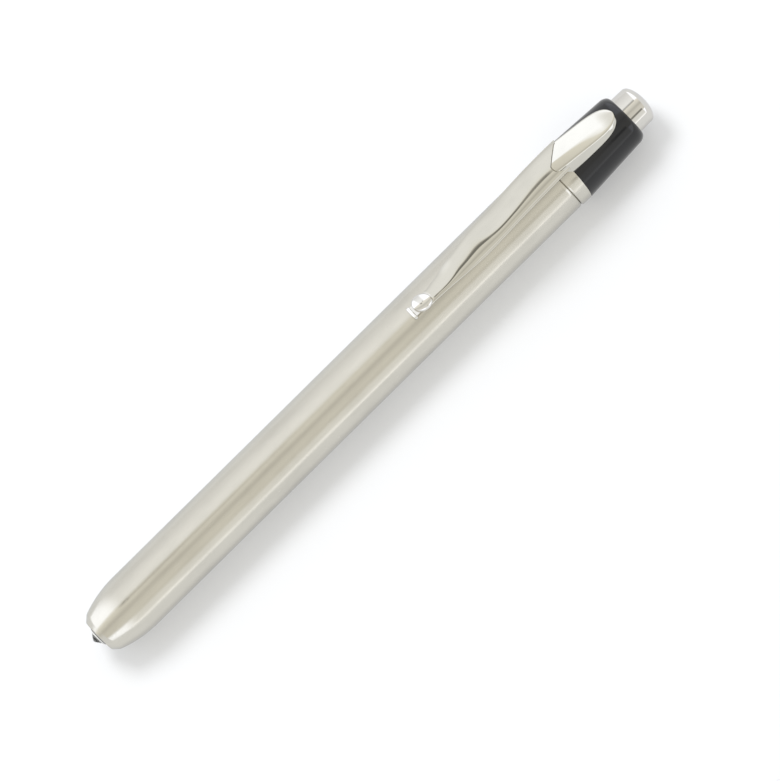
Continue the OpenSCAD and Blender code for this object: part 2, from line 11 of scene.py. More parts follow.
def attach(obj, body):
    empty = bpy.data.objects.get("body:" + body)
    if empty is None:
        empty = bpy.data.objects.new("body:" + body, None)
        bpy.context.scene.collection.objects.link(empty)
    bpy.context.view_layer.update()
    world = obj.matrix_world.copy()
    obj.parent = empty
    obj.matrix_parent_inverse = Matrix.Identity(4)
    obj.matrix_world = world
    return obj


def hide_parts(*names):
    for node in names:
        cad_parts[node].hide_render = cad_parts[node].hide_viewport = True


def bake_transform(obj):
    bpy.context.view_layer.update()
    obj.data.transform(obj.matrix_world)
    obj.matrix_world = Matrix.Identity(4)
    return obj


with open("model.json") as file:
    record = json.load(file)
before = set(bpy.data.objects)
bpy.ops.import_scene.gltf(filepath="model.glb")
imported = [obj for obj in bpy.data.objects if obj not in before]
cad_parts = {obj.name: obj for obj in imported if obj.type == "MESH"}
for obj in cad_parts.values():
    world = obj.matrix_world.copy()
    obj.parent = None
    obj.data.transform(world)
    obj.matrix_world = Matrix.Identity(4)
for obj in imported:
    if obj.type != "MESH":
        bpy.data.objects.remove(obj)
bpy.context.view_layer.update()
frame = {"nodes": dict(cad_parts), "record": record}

NODES = frame["nodes"]
MM = 0.001

# Sizes in millimetres, after the solids': stations run from the flat of the nose to the button
# Barrel and nose
BARREL_R = 5.75
BAND_R = 5.87
BORE_R = 5.35
WALL = 0.4
MID_A = 67.24
NOSE_LEN = 9.0
NOSE_FACE_R = 3.3
NOSE_EDGE = 0.12
NOSE_CONE = math.radians(42)
NOSE_CONE_LEN = 0.9
NOSE_BEND_R = 1.5
APERTURE_R = 2.3
BARREL_REAR_A = 114.76
BARREL_EDGE_H = 0.3
BARREL_EDGE_LEN = 0.7
# Lens, bush and bulb glass
LENS_OUT = 1.33
LENS_R = 1.3
LENS_POWER = 0.75
LENS_GAP = 0.06
BUSH_OUT = 0.5
BUSH_GROOVE_R = 1.85
BUSH_GROOVE_LEN = 0.2
BUSH_FLANGE_R = 2.916
BUSH_REAR_A = 1.22
GLASS_FRONT_A = 1.24
GLASS_SHOULDER_A = 5.14
GLASS_REAR_A = 14.0
GLASS_R = 4.36
GLASS_WALL = 0.5
GLASS_SOLID_LEN = 1.6
# Clip band, ferrule and collar
BAND_FRONT_A = 114.81
BAND_REAR_A = 117.21
BAND_SLANT = 0.48
BAND_EDGE_H = 0.4
BAND_EDGE_LEN = 0.4
MEETING_EDGE = 0.1
MEETING_STEPS = 6
NECK_R = 4.9
POCKET_R = 4.35
SPIGOT_A = 110.96
SPIGOT_R = 5.3
WEB_A = 119.38
WEB_REAR_A = 120.18
PIN_BORE_R = 1.0
FERRULE_REAR_A = 124.38
COLLAR_REAR_A = 131.41
COLLAR_LEN = 14.2
COLLAR_TAPER = 0.68
COLLAR_EDGE_H = 1.2
COLLAR_EDGE_LEN = 1.8
CAVITY_R = 4.51
LIP_A = 127.71
# Push button
BUTTON_R = 3.9
BUTTON_GAP = 0.06
BUTTON_BORE_R = 3.3
FLANGE_R = 4.4
FLANGE_A = 126.76
FLANGE_REAR_A = 127.66
BUTTON_TIP_A = 135.81
BUTTON_DOME = 1.7
BUTTON_DRAFT = 1.5
DRAFT_START = 0.3
# Springs and thread
CELLS_END_A = 110.71
PLATE_A = 116.81
BATTERY_COIL_R = (2.596, 3.11)
BATTERY_TURNS = 4
BATTERY_WIRE_R = 0.35
RETURN_COIL_R = (3.85, 3.85)
RETURN_TURNS = 5
RETURN_WIRE_R = 0.25
THREAD_PITCH = 1.0
THREAD_DEPTH = 0.32
THREAD_FLANK = 2.6
THREAD_RUNOUT = 0.5
# Clip: sheet, arm, fold, ball and lip
CLIP_T = 0.45
CLIP_W = 6.0
NECK_W = 2.8
NECK_SHARE = 1.3
ARM_FLARE_SHARE = 0.6
ARM_RISE_POWER = 1.3
CLIP_NECK_H = BARREL_R + 0.85
FOLD_A = 115.56
FOLD_H = BARREL_R + 3.4
FOLD_DEPTH = 3.2
FOLD_POINT = -0.22
FOLD_LEAD = 0.44
FOLD_NEAR_POWER = 4
FOLD_GAP = 0.1
BALL_A = 82.26
BALL_Y = -0.6
FOLD_Y = 0.2
BALL_R = 1.8
BALL_H = 2.0
BALL_LONG = 1.1
BALL_TURN = math.radians(-28)
BALL_GAP = 0.12
LIP_BAR_A = 79.68
LIP_BAR_R = 0.38
LIP_BAR_W = 2.8
LIP_BAR_RISE = 0.7
CROWN_DROP = 0.6
CROWN_SHARE = 0.4
FAR_FALL = 0.75
EDGE_ROLL = 0.1
ROLL_SHARE = 0.78
# Clip: tongue, with powers that square its far and near sides at the fold and at the tip
TONGUE_LEN = 14.3
TONGUE_LAND_SHARE = 0.8
TONGUE_BLEND = 0.4
TONGUE_SOLID = 2.2
TIP_FLAT = 0.0005
TONGUE_FAR_POWERS = (9.0, 2.0)
TONGUE_NEAR_POWERS = (16.0, 16.0)
TONGUE_FAR_SPREAD = 2.8
TONGUE_NEAR_SPREAD = 6
TONGUE_END_POWER = 6
TONGUE_LEAN = 0.25
TONGUE_NEAR_SHARE = 0.94
TONGUE_CROWN = 0.18
TONGUE_CROWN_POWER = 1.4
LEG_A = FOLD_A + 1.5
LEG_W = 1.2
LEG_SUNK = 0.3
# Gaps, broken edges and steps of the meshes
SEAT_GAP = 0.05
TOUCH_GAP = 0.02
EDGE_BREAK = 0.04
SEGMENTS = 160
ARC_STEPS = 20
TINY = 1e-6


def lie(a, y, h):
    """Point of the lying pen, in metres, from a station, a sideways offset and a height over the axis."""
    return ((a - MID_A) * MM, y * MM, (BAND_R + h) * MM)


def new_object(name, points, faces, sharp=40.0):
    """Object with outward faces, smooth but for edges sharper than an angle in degrees."""
    mesh = bpy.data.meshes.new(name)
    mesh.from_pydata(points, [], faces)
    work = bmesh.new()
    work.from_mesh(mesh)
    bmesh.ops.remove_doubles(work, verts=work.verts, dist=1e-8)
    bmesh.ops.recalc_face_normals(work, faces=work.faces)
    work.to_mesh(mesh)
    work.free()
    mesh.shade_smooth()
    mesh.set_sharp_from_angle(angle=math.radians(sharp))
    thing = bpy.data.objects.new(name, mesh)
    bpy.context.scene.collection.objects.link(thing)
    return thing


def united(base, others, sharp=40.0):
    """Joins other closed objects to a base as one closed mesh, and removes them."""
    for other in others:
        union = base.modifiers.new("union", "BOOLEAN")
        union.operation = "UNION"
        union.solver = "EXACT"
        union.object = other
    bpy.context.view_layer.update()
    mesh = bpy.data.meshes.new_from_object(base.evaluated_get(bpy.context.evaluated_depsgraph_get()))
    mesh.name = base.name
    base.modifiers.clear()
    base.data = mesh
    for other in others:
        bpy.data.objects.remove(other)
    mesh.shade_smooth()
    mesh.set_sharp_from_angle(angle=math.radians(sharp))
    return base


def oval(r, a, height, length, start, end, steps=ARC_STEPS):
    """Points of radius and station on an oval arc: 0 degrees faces the nose, 90 out and 180 the button."""
    turns = [math.radians(start + (end - start) * i / steps) for i in range(steps + 1)]
    return [(r + height * math.sin(t), a - length * math.cos(t)) for t in turns]


def arc(r, a, radius, start, end, steps=ARC_STEPS):
    return oval(r, a, radius, radius, start, end, steps)


def ring_faces(pairs, segments):
    """Faces between pairs of neighbouring rings of points, where a ring of one point is a pole."""
    faces = []
    for one, two in pairs:
        for k in range(segments):
            corners = [one[k % len(one)], one[(k + 1) % len(one)], two[(k + 1) % len(two)], two[k % len(two)]]
            corners = list(dict.fromkeys(corners))
            if len(corners) > 2:
                faces.append(corners)
    return faces


def tube_faces(rows, count):
    """Faces of an open tube of so many rows, with equal loops of points at their ends."""
    faces = []
    for i in range(rows):
        for k in range(count):
            here, there, after = i * count, (i + 1) * count, (k + 1) % count
            faces.append((here + k, here + after, there + after, there + k))
    return faces


def turned(name, outline, slant=(), thread=None, segments=SEGMENTS, sharp=40.0):
    """Closed mesh turned about the pen's axis from a closed outline of (radius, station).
    Points in slant follow the slanted face of the band; thread is the span of stations cut with a thread."""
    points, rows = [], []
    for index, (r, a) in enumerate(outline):
        row = []
        for k in range(1 if r < TINY else segments):
            turn = 2 * math.pi * k / segments
            radius, station = r, a
            if thread and thread[0] - TINY <= a <= thread[1] + TINY and r > thread[2]:
                wave = (a / THREAD_PITCH - k / segments) % 1.0
                groove = 1 - min(1, THREAD_FLANK * abs(wave - 0.5))
                radius -= THREAD_DEPTH * groove * thread_ease(a, thread)
            if index in slant:
                station += BAND_SLANT * radius * math.cos(turn) / BAND_R
            row.append(len(points))
            points.append(lie(station, radius * math.sin(turn), radius * math.cos(turn)))
        rows.append(row)
    return new_object(name, points, ring_faces(zip(rows, rows[1:] + rows[:1]), segments), sharp)


def thread_ease(a, span):
    """Share of the full thread depth at a station: it runs out at both ends of its span."""
    return max(0.0, min(1.0, (a - span[0]) / THREAD_RUNOUT, (span[1] - a) / THREAD_RUNOUT))


def spaced(start, end, steps):
    return [start + (end - start) * i / steps for i in range(steps + 1)]


# Pieces turned about the pen's axis
bend_mid_r = NOSE_FACE_R + NOSE_CONE_LEN * math.tan(NOSE_CONE) - NOSE_BEND_R * math.cos(NOSE_CONE)
bend_mid_a = NOSE_CONE_LEN + NOSE_BEND_R * math.sin(NOSE_CONE)
nose_fall = BARREL_R - bend_mid_r
nose_run = NOSE_LEN - bend_mid_a
ogive_r = (nose_run ** 2 + nose_fall ** 2 - NOSE_BEND_R ** 2) / (2 * (nose_fall - NOSE_BEND_R))
nose_turn = math.degrees(math.acos(nose_run / (ogive_r - NOSE_BEND_R)))


def nose_outline(depth):
    """Nose at a depth under its surface: flat, cone, bend and the long curve into the straight barrel."""
    flat_r = NOSE_FACE_R + depth * (math.tan(NOSE_CONE) - 1 / math.cos(NOSE_CONE))
    runs = spaced(NOSE_EDGE / 2, NOSE_CONE_LEN / 2, 4)
    cone = [(flat_r + run * math.tan(NOSE_CONE), depth + run) for run in runs]
    bend = arc(bend_mid_r, bend_mid_a, NOSE_BEND_R - depth, 90 - math.degrees(NOSE_CONE), nose_turn)
    curve = arc(BARREL_R - ogive_r, NOSE_LEN, ogive_r - depth, nose_turn, 90, 2 * ARC_STEPS)
    edge = [(flat_r - NOSE_EDGE, depth), (flat_r - NOSE_EDGE / 3, depth + NOSE_EDGE / 9)]
    return edge + cone + bend + curve[1:]


def make_barrel():
    edge = oval(BARREL_R - BARREL_EDGE_H, BARREL_REAR_A - BARREL_EDGE_LEN, BARREL_EDGE_H, BARREL_EDGE_LEN,
                90, 180)
    outline = [(APERTURE_R, 0)] + nose_outline(0) + edge + [(BORE_R, BARREL_REAR_A)]
    return turned("barrel_shell", outline + nose_outline(WALL)[::-1] + [(APERTURE_R, WALL)], segments=192)


def make_bush():
    inner = LENS_R + LENS_GAP
    outer = APERTURE_R - TOUCH_GAP
    flange_a = WALL + TOUCH_GAP
    cone_r = outer + (inner - outer) * BUSH_GROOVE_LEN / BUSH_OUT
    outline = [(inner, BUSH_REAR_A), (BUSH_FLANGE_R, BUSH_REAR_A), (BUSH_FLANGE_R, flange_a),
               (outer, flange_a), (outer, 0), (BUSH_GROOVE_R, 0), (BUSH_GROOVE_R, -BUSH_GROOVE_LEN),
               (cone_r, -BUSH_GROOVE_LEN), (inner + EDGE_BREAK, -BUSH_OUT), (inner, -BUSH_OUT + EDGE_BREAK)]
    return turned("nose_bush", outline, segments=96)


def make_glass():
    steps = 2 * ARC_STEPS
    shares = [i / steps for i in range(steps + 1)]
    dome = [(LENS_R * s ** LENS_POWER, -LENS_OUT + (LENS_OUT - BUSH_OUT) * s) for s in shares]
    inner_r = GLASS_R - GLASS_WALL
    shoulder_a = GLASS_SHOULDER_A + GLASS_WALL
    solid_a = GLASS_FRONT_A + GLASS_SOLID_LEN
    outline = dome + [(LENS_R, GLASS_FRONT_A), (GLASS_R, GLASS_SHOULDER_A), (GLASS_R, GLASS_REAR_A),
                      (inner_r, GLASS_REAR_A), (inner_r, shoulder_a), (LENS_R / 2, solid_a), (0, solid_a)]
    return turned("lens_bulb", outline, segments=96, sharp=30)


def make_band():
    inner = NECK_R + SEAT_GAP
    front = oval(BAND_R - BAND_EDGE_H, BAND_FRONT_A + BAND_EDGE_LEN, BAND_EDGE_H, BAND_EDGE_LEN, 0, 90)
    rear = arc(BAND_R - MEETING_EDGE, BAND_REAR_A - MEETING_EDGE, MEETING_EDGE, 90, 180, MEETING_STEPS)
    outline = [(inner, BAND_FRONT_A)] + front + rear + [(inner, BAND_REAR_A)]
    slanted = range(1 + len(front), len(outline))
    band = turned("clip_band_ring", outline, slanted)
    foot = BARREL_R - LEG_SUNK
    under, half_w = tongue_ridge(LEG_A + CLIP_T) - CLIP_T, (CLIP_W / 2 - CLIP_T) * TONGUE_NEAR_SHARE
    side_foot = math.sqrt((collar_r(LEG_A) + SEAT_GAP) ** 2 - (FOLD_Y - half_w) ** 2)
    top = under - (under - side_foot) * tongue_fall(LEG_W / 2 / half_w) - TOUCH_GAP
    leg = block("leg", (LEG_A, FOLD_Y - LEG_W / 2, foot), (LEG_A + CLIP_T, FOLD_Y + LEG_W / 2, top))
    return united(band, [leg])


def make_collar():
    inner = NECK_R + SEAT_GAP
    front_a = BAND_REAR_A + TOUCH_GAP
    front = arc(BAND_R - MEETING_EDGE, front_a + MEETING_EDGE, MEETING_EDGE, 0, 90, MEETING_STEPS)
    rear = oval(collar_r(COLLAR_REAR_A) - COLLAR_EDGE_H, COLLAR_REAR_A - COLLAR_EDGE_LEN, COLLAR_EDGE_H,
                COLLAR_EDGE_LEN, 90, 180)
    bore = BUTTON_R + BUTTON_GAP
    shelf_a = FERRULE_REAR_A + TOUCH_GAP
    outline = [(inner, front_a)] + front + rear + [
        (bore + EDGE_BREAK, COLLAR_REAR_A), (bore, COLLAR_REAR_A - EDGE_BREAK), (bore, LIP_A),
        (CAVITY_R, LIP_A), (CAVITY_R, shelf_a), (inner, shelf_a)]
    return turned("tail_collar", outline, range(0, 1 + len(front)), segments=192)


def make_button(side_steps=12, dome_steps=32):
    dome_a = BUTTON_TIP_A - BUTTON_DOME
    turns = [math.radians(90 * i / dome_steps) for i in range(dome_steps)]
    side_a = COLLAR_REAR_A - DRAFT_START
    end_r = BUTTON_R - math.tan(math.radians(BUTTON_DRAFT)) * (dome_a - side_a)
    side = list(zip(spaced(BUTTON_R, end_r, side_steps), spaced(side_a, dome_a, side_steps)))[:-1]
    dome = [(end_r * math.cos(t), dome_a + BUTTON_DOME * math.sin(t)) for t in turns]
    outline = [(BUTTON_BORE_R, FLANGE_A), (FLANGE_R, FLANGE_A), (FLANGE_R, FLANGE_REAR_A),
               (BUTTON_R, FLANGE_REAR_A)] + side + dome
    outline += [(0, BUTTON_TIP_A), (0, dome_a), (BUTTON_BORE_R, dome_a)]
    return turned("push_cap", outline)


def make_ferrule():
    spigot = [(SPIGOT_R, a) for a in spaced(SPIGOT_A, BARREL_REAR_A, 76)]
    outline = [(POCKET_R, SPIGOT_A)] + spigot + [
        (NECK_R, BARREL_REAR_A), (NECK_R, FERRULE_REAR_A), (POCKET_R, FERRULE_REAR_A), (POCKET_R, WEB_REAR_A),
        (PIN_BORE_R, WEB_REAR_A), (PIN_BORE_R, WEB_A), (POCKET_R, WEB_A)]
    return turned("threaded_ferrule", outline, thread=(SPIGOT_A, BARREL_REAR_A, NECK_R), segments=120)


def make_coil(name, radii, seats, turns, wire_r, sides=14, per_turn=40):
    """Closed round wire wound along the pen between two seats, that can narrow to one end."""
    steps = turns * per_turn
    points = []
    first_a, last_a = seats[0] + wire_r + TOUCH_GAP, seats[1] - wire_r - TOUCH_GAP
    run = (last_a - first_a) / (2 * math.pi * turns)
    for i in range(steps + 1):
        share = i / steps
        turn = 2 * math.pi * turns * share
        r = radii[0] + (radii[1] - radii[0]) * share
        a = first_a + (last_a - first_a) * share
        out = np.array((0.0, math.sin(turn), -math.cos(turn)))
        ahead = np.array((run, r * math.cos(turn), r * math.sin(turn)))
        up = np.cross(ahead / np.linalg.norm(ahead), out)
        centre = np.array((a, 0.0, 0.0)) + r * out
        for k in range(sides):
            side = 2 * math.pi * k / sides
            points.append(lie(*(centre + wire_r * (math.cos(side) * out + math.sin(side) * up))))
    ends = [tuple(range(sides)), tuple(range(steps * sides, (steps + 1) * sides))]
    return new_object(name, points, tube_faces(steps, sides) + ends)


def block(name, low, high):
    """Closed box between two corners given as station, offset and height."""
    points = [lie(a, y, h) for a in (low[0], high[0]) for y in (low[1], high[1]) for h in (low[2], high[2])]
    faces = [(0, 1, 3, 2), (4, 6, 7, 5), (0, 4, 5, 1), (2, 3, 7, 6), (0, 2, 6, 4), (1, 5, 7, 3)]
    return new_object(name, points, faces)


# Clip: an arm with a ball and a lip, and a tongue
def collar_r(a):
    return BAND_R - COLLAR_TAPER * (a - BAND_REAR_A) / COLLAR_LEN


def fold_line(across):
    """How far behind the fold's middle its arrow-shaped line runs at a share of half the width."""
    if across > FOLD_POINT:
        return FOLD_DEPTH * (across - FOLD_POINT) - FOLD_LEAD
    near = 1 + FOLD_POINT
    return FOLD_DEPTH * near * ((FOLD_POINT - across) / near) ** FOLD_NEAR_POWER - FOLD_LEAD


neck_a = BALL_A + NECK_SHARE * BALL_R


def arm_share(a):
    return min(1.0, max(0.0, (a - neck_a) / (FOLD_A - neck_a)))


def arm_half_w(a):
    return (NECK_W + (CLIP_W - NECK_W) * math.sin(math.pi / 2 * min(1.0, arm_share(a) / ARM_FLARE_SHARE))) / 2


def arm_ridge(a):
    return CLIP_NECK_H + (FOLD_H - CLIP_NECK_H) * (1 - (1 - arm_share(a)) ** ARM_RISE_POWER)


def arm_y(a):
    return FOLD_Y + (BALL_Y - FOLD_Y) * (1 - arm_share(a)) ** 2


def arm_fall(a, across):
    edge = max(0.0, (abs(across) - ROLL_SHARE) / (1 - ROLL_SHARE))
    crown = CROWN_SHARE * across ** 2 + (1 - CROWN_SHARE) * across ** 4
    side = FAR_FALL if across > 0 else 1.0
    return side * (CROWN_DROP * crown + EDGE_ROLL * edge ** 2) * (2 * arm_half_w(a) / CLIP_W) ** 2


# Slight twist that the press leaves in the arm: stations and degrees
ARM_TWIST = [(84.6, 0.0), (87.3, -2.2), (91.8, 3.8), (95.8, 5.2), (102.2, -2.0), (112.5, 3.4), (116.0, 2.4),
             (120.0, 0.0)]


def arm_twist(a):
    for (a0, t0), (a1, t1) in zip(ARM_TWIST, ARM_TWIST[1:]):
        if a0 <= a <= a1:
            return math.radians(t0 + (t1 - t0) * (1 - math.cos(math.pi * (a - a0) / (a1 - a0))) / 2)
    return 0.0


def make_arm(rows=120, columns=48, rim=6):
    """Arm of sheet metal with rounded edges, joined to its ball and its turned-up lip."""
    points = []
    half = CLIP_T / 2
    turns = [math.pi * (k + 1) / (rim + 1) for k in range(rim)]
    for i in range(rows + 1):
        loop = []
        for j in range(columns + 1):
            across = math.sin(math.pi / 2 * (2 * j / columns - 1))
            end_a = FOLD_A - FOLD_GAP + fold_line(across)
            a = BALL_A + (end_a - BALL_A) * i / rows
            y = (arm_half_w(a) - half) * across
            loop.append((a, arm_y(a) + y, arm_ridge(a) - arm_fall(a, across) + y * math.tan(arm_twist(a))))
        left, right = loop[0], loop[-1]
        loop += [(right[0], right[1] + half * math.sin(t), right[2] - half * (1 - math.cos(t)))
                 for t in turns]
        loop += [(a, y, h - CLIP_T) for a, y, h in reversed(loop[:columns + 1])]
        loop += [(left[0], left[1] - half * math.sin(t), left[2] - half * (1 + math.cos(t)))
                 for t in turns]
        points += [lie(*p) for p in loop]
    count = len(points) // (rows + 1)
    faces = tube_faces(rows, count)
    for start in (0, rows * count):
        for j in range(columns):
            low = 2 * columns + 1 + rim - j
            faces.append((start + j, start + j + 1, start + low, start + low + 1))
        faces.append([start + columns + k for k in range(rim + 2)])
        faces.append([start + (2 * columns + rim + 2 + k) % count for k in range(-1, rim + 1)] + [start])
    arm = new_object("clip_blade", points, faces)
    return united(arm, [make_ball(), make_lip()], 50)


def make_ball(steps=32, segments=64):
    """Rounded end of the clip, drawn a little long and aslant."""
    points, rows = [], []
    for i in range(steps + 1):
        turn = math.pi * i / steps
        row = []
        for k in range(1 if i in (0, steps) else segments):
            side = 2 * math.pi * k / segments
            length = BALL_R * BALL_LONG * math.sin(turn) * math.cos(side)
            width = BALL_R / BALL_LONG * math.sin(turn) * math.sin(side)
            row.append(len(points))
            points.append(lie(BALL_A + length * math.cos(BALL_TURN) - width * math.sin(BALL_TURN),
                              BALL_Y + length * math.sin(BALL_TURN) + width * math.cos(BALL_TURN),
                              BARREL_R + BALL_GAP + BALL_H * (1 - math.cos(turn)) / 2))
        rows.append(row)
    return new_object("ball", points, ring_faces(zip(rows, rows[1:]), segments))


def make_lip(steps=24, sides=24):
    """Rounded bar across the front of the clip, with the narrow tab that joins it to the ball."""
    bar = LIP_BAR_W / 2 - LIP_BAR_R
    centre_h = BARREL_R + LIP_BAR_RISE
    points, rows = [], []
    for i in range(steps + 1):
        turn = math.pi * i / steps
        y = BALL_Y - LIP_BAR_R * math.cos(turn) + (bar if i > steps / 2 else -bar if i < steps / 2 else 0)
        r = LIP_BAR_R * math.sin(turn)
        row = []
        for k in range(1 if i in (0, steps) else sides):
            side = 2 * math.pi * k / sides
            row.append(len(points))
            points.append(lie(LIP_BAR_A + r * math.cos(side), y, centre_h + r * math.sin(side)))
        rows.append(row)
    lip = new_object("lip", points, ring_faces(zip(rows, rows[1:]), sides))
    tab = block("tab", (LIP_BAR_A, BALL_Y - bar, centre_h - LIP_BAR_R / 2),
                (BALL_A + BALL_R / 2, BALL_Y + bar, centre_h + LIP_BAR_R / 2))
    return united(lip, [tab])


tongue_tip_a = FOLD_A + TONGUE_LEN
shoulder_a = FOLD_A + FOLD_DEPTH
tongue_land_a = FOLD_A + TONGUE_LEN * TONGUE_LAND_SHARE
tongue_slope = (FOLD_H - collar_r(tongue_land_a) - CLIP_T) / (tongue_land_a - FOLD_A)


def tongue_ridge(a):
    ramp = FOLD_H - tongue_slope * (a - FOLD_A)
    floor = collar_r(a) + CLIP_T
    return (ramp + floor + math.hypot(ramp - floor, TONGUE_BLEND)) / 2


def tongue_across(turn, power):
    """Sideways place as a share of half the width: the near wall leans inwards."""
    cosine, sine = math.cos(turn), max(0.0, math.sin(turn))
    lean = TONGUE_LEAN * sine ** power if cosine < 0 else 0.0
    return math.copysign(abs(cosine) ** power, cosine) * (1 - lean)


def tongue_fall(across):
    """Share by which the top of the tongue falls towards the near wall."""
    return TONGUE_CROWN * max(0.0, across) ** TONGUE_CROWN_POWER


def tongue_rise(turn, power):
    """Height of a point of the tongue as a share of the ridge's."""
    return max(0.0, math.sin(turn)) ** power * (1 - tongue_fall(-tongue_across(turn, power)))


def make_tongue(rows=72, columns=96):
    """Raised hollow leaf that lies on the collar, between an outer and an inner skin."""
    def skin(inset, tip_a):
        grid = []
        for i in range(rows + 1):
            along = math.sin(math.pi / 2 * i / rows)
            row = []
            for j in range(columns + 1):
                share = 2 * j / columns - 1
                power = TONGUE_NEAR_SPREAD if share < 0 else TONGUE_FAR_SPREAD
                turn = math.pi / 2 * (1 - math.copysign(abs(share) ** power, share))
                side = math.copysign(1, math.cos(turn))
                front_power, tip_power = TONGUE_NEAR_POWERS if side < 0 else TONGUE_FAR_POWERS
                front_a = FOLD_A + FOLD_GAP + fold_line(tongue_across(turn, 2 / front_power))
                a = front_a + (tip_a - TIP_FLAT - front_a) * along
                power = 2 / (front_power + (tip_power - front_power) * along)
                share = min(1.0, max(0.0, (a - shoulder_a) / (tip_a - shoulder_a)))
                half_w = (CLIP_W / 2 - inset) * math.sqrt(1 - share ** TONGUE_END_POWER)
                if side < 0:
                    half_w *= TONGUE_NEAR_SHARE
                foot = math.sqrt((collar_r(a) + SEAT_GAP) ** 2 - (FOLD_Y + side * half_w) ** 2)
                row.append(lie(a, FOLD_Y + half_w * tongue_across(turn, power),
                               foot + (tongue_ridge(a) - inset - foot) * tongue_rise(turn, power)))
            grid.append(row)
        return grid

    outer, inner = skin(0, tongue_tip_a), skin(CLIP_T, tongue_tip_a - TONGUE_SOLID)
    points = [p for row in outer + inner for p in row]
    wide = columns + 1
    shift = (rows + 1) * wide
    faces = []
    for i in range(rows):
        for j in range(columns):
            p, s = i * wide + j, (i + 1) * wide + j
            faces.append((p, p + 1, s + 1, s))
            faces.append((shift + s, shift + s + 1, shift + p + 1, shift + p))
    rim = list(range(wide)) + [i * wide + columns for i in range(1, rows + 1)]
    rim += [rows * wide + j for j in range(columns - 1, -1, -1)] + [i * wide for i in range(rows - 1, 0, -1)]
    for p, q in zip(rim, rim[1:] + rim[:1]):
        faces.append((q, p, shift + p, shift + q))
    return new_object("clip_leaf", points, faces, 50)


# Materials
def shader_nodes(name):
    """A new material's node tree, its principled shader and its object coordinates in millimetres."""
    material = bpy.data.materials.new(name)
    material.use_nodes = True
    tree = material.node_tree
    shader = tree.nodes["Principled BSDF"]
    coords = tree.nodes.new("ShaderNodeTexCoord")
    return material, tree, shader, coords


def noise(tree, coords, scale, detail=3.0, rough=0.5):
    """Noise with a different number of grains per millimetre along X, Y and Z."""
    mapping = tree.nodes.new("ShaderNodeMapping")
    mapping.inputs["Scale"].default_value = [s / MM for s in scale]
    texture = tree.nodes.new("ShaderNodeTexNoise")
    texture.inputs["Scale"].default_value = 1.0
    texture.inputs["Detail"].default_value = detail
    texture.inputs["Roughness"].default_value = rough
    tree.links.new(coords.outputs["Object"], mapping.inputs["Vector"])
    tree.links.new(mapping.outputs["Vector"], texture.inputs["Vector"])
    return texture.outputs["Fac"]


def ramp(tree, value, stops):
    """Colours at positions along a value."""
    node = tree.nodes.new("ShaderNodeValToRGB")
    while len(node.color_ramp.elements) < len(stops):
        node.color_ramp.elements.new(0.5)
    for element, (place, colour) in zip(node.color_ramp.elements, stops):
        element.position = place
        element.color = tuple(colour) + (1.0,)
    tree.links.new(value, node.inputs["Fac"])
    return node.outputs["Color"]


def spread(tree, value, low, high, source=(0.3, 0.7)):
    """Maps the middle of a noise onto a range."""
    node = tree.nodes.new("ShaderNodeMapRange")
    node.inputs["From Min"].default_value = source[0]
    node.inputs["From Max"].default_value = source[1]
    node.inputs["To Min"].default_value = low
    node.inputs["To Max"].default_value = high
    tree.links.new(value, node.inputs["Value"])
    return node.outputs["Result"]


def joined(tree, operation, one, two):
    node = tree.nodes.new("ShaderNodeMath")
    node.operation = operation
    tree.links.new(one, node.inputs[0])
    tree.links.new(two, node.inputs[1])
    return node.outputs["Value"]


def bumped(tree, shader, height, strength, depth):
    """Bump of a depth in millimetres."""
    node = tree.nodes.new("ShaderNodeBump")
    node.inputs["Strength"].default_value = strength
    node.inputs["Distance"].default_value = depth * MM
    tree.links.new(height, node.inputs["Height"])
    tree.links.new(node.outputs["Normal"], shader.inputs["Normal"])


def mixed(tree, share, base, colour):
    """Base colour that turns into a constant one by a share."""
    node = tree.nodes.new("ShaderNodeMix")
    node.data_type = "RGBA"
    tree.links.new(share, node.inputs[0])
    tree.links.new(base, node.inputs[6])
    node.inputs[7].default_value = tuple(colour) + (1.0,)
    return node.outputs[2]


def tinted(colour, factor):
    return tuple(min(1.0, c * factor) for c in colour)


def metal(name, colour, rough, grain, edge=(1.0, 1.0, 1.0), tarnish=0.05, bump=0.15, highlight_spot=None):
    """Metal with drawn or turned lines, cloudy tarnish and fine scratches.
    A place can be brightened in the colour as a painted highlight: its point, full and outer reach, and
    colour."""
    material, tree, shader, coords = shader_nodes(name)
    shader.inputs["Metallic"].default_value = 1.0
    shader.inputs["Specular Tint"].default_value = tuple(edge) + (1.0,)
    cloud = noise(tree, coords, (0.12, 0.3, 0.3), 4.0)
    lines = noise(tree, coords, grain, 2.0)
    scratches = noise(tree, coords, (0.9, 14.0, 9.0), 1.0)
    base = ramp(tree, cloud, [(0.3, tinted(colour, 1 - tarnish)), (0.5, colour),
                              (0.72, tinted(colour, 1 + tarnish / 2))])
    # Painted highlight: the colour turns brighter round a point, fading out between two distances.
    if highlight_spot:
        place, full, reach, bright = highlight_spot
        away = tree.nodes.new("ShaderNodeVectorMath")
        away.operation = "DISTANCE"
        tree.links.new(coords.outputs["Object"], away.inputs[0])
        away.inputs[1].default_value = place
        highlight_share = spread(tree, away.outputs["Value"], 1.0, 0.0, (full * MM, reach * MM))
        base = mixed(tree, highlight_share, base, bright)
    tree.links.new(base, shader.inputs["Base Color"])
    wear = joined(tree, "ADD", spread(tree, lines, 0.75 * rough, 1.2 * rough),
                  spread(tree, scratches, 0.0, 0.35 * rough, (0.62, 0.75)))
    tree.links.new(wear, shader.inputs["Roughness"])
    bumped(tree, shader, lines, bump, 0.004)
    return material


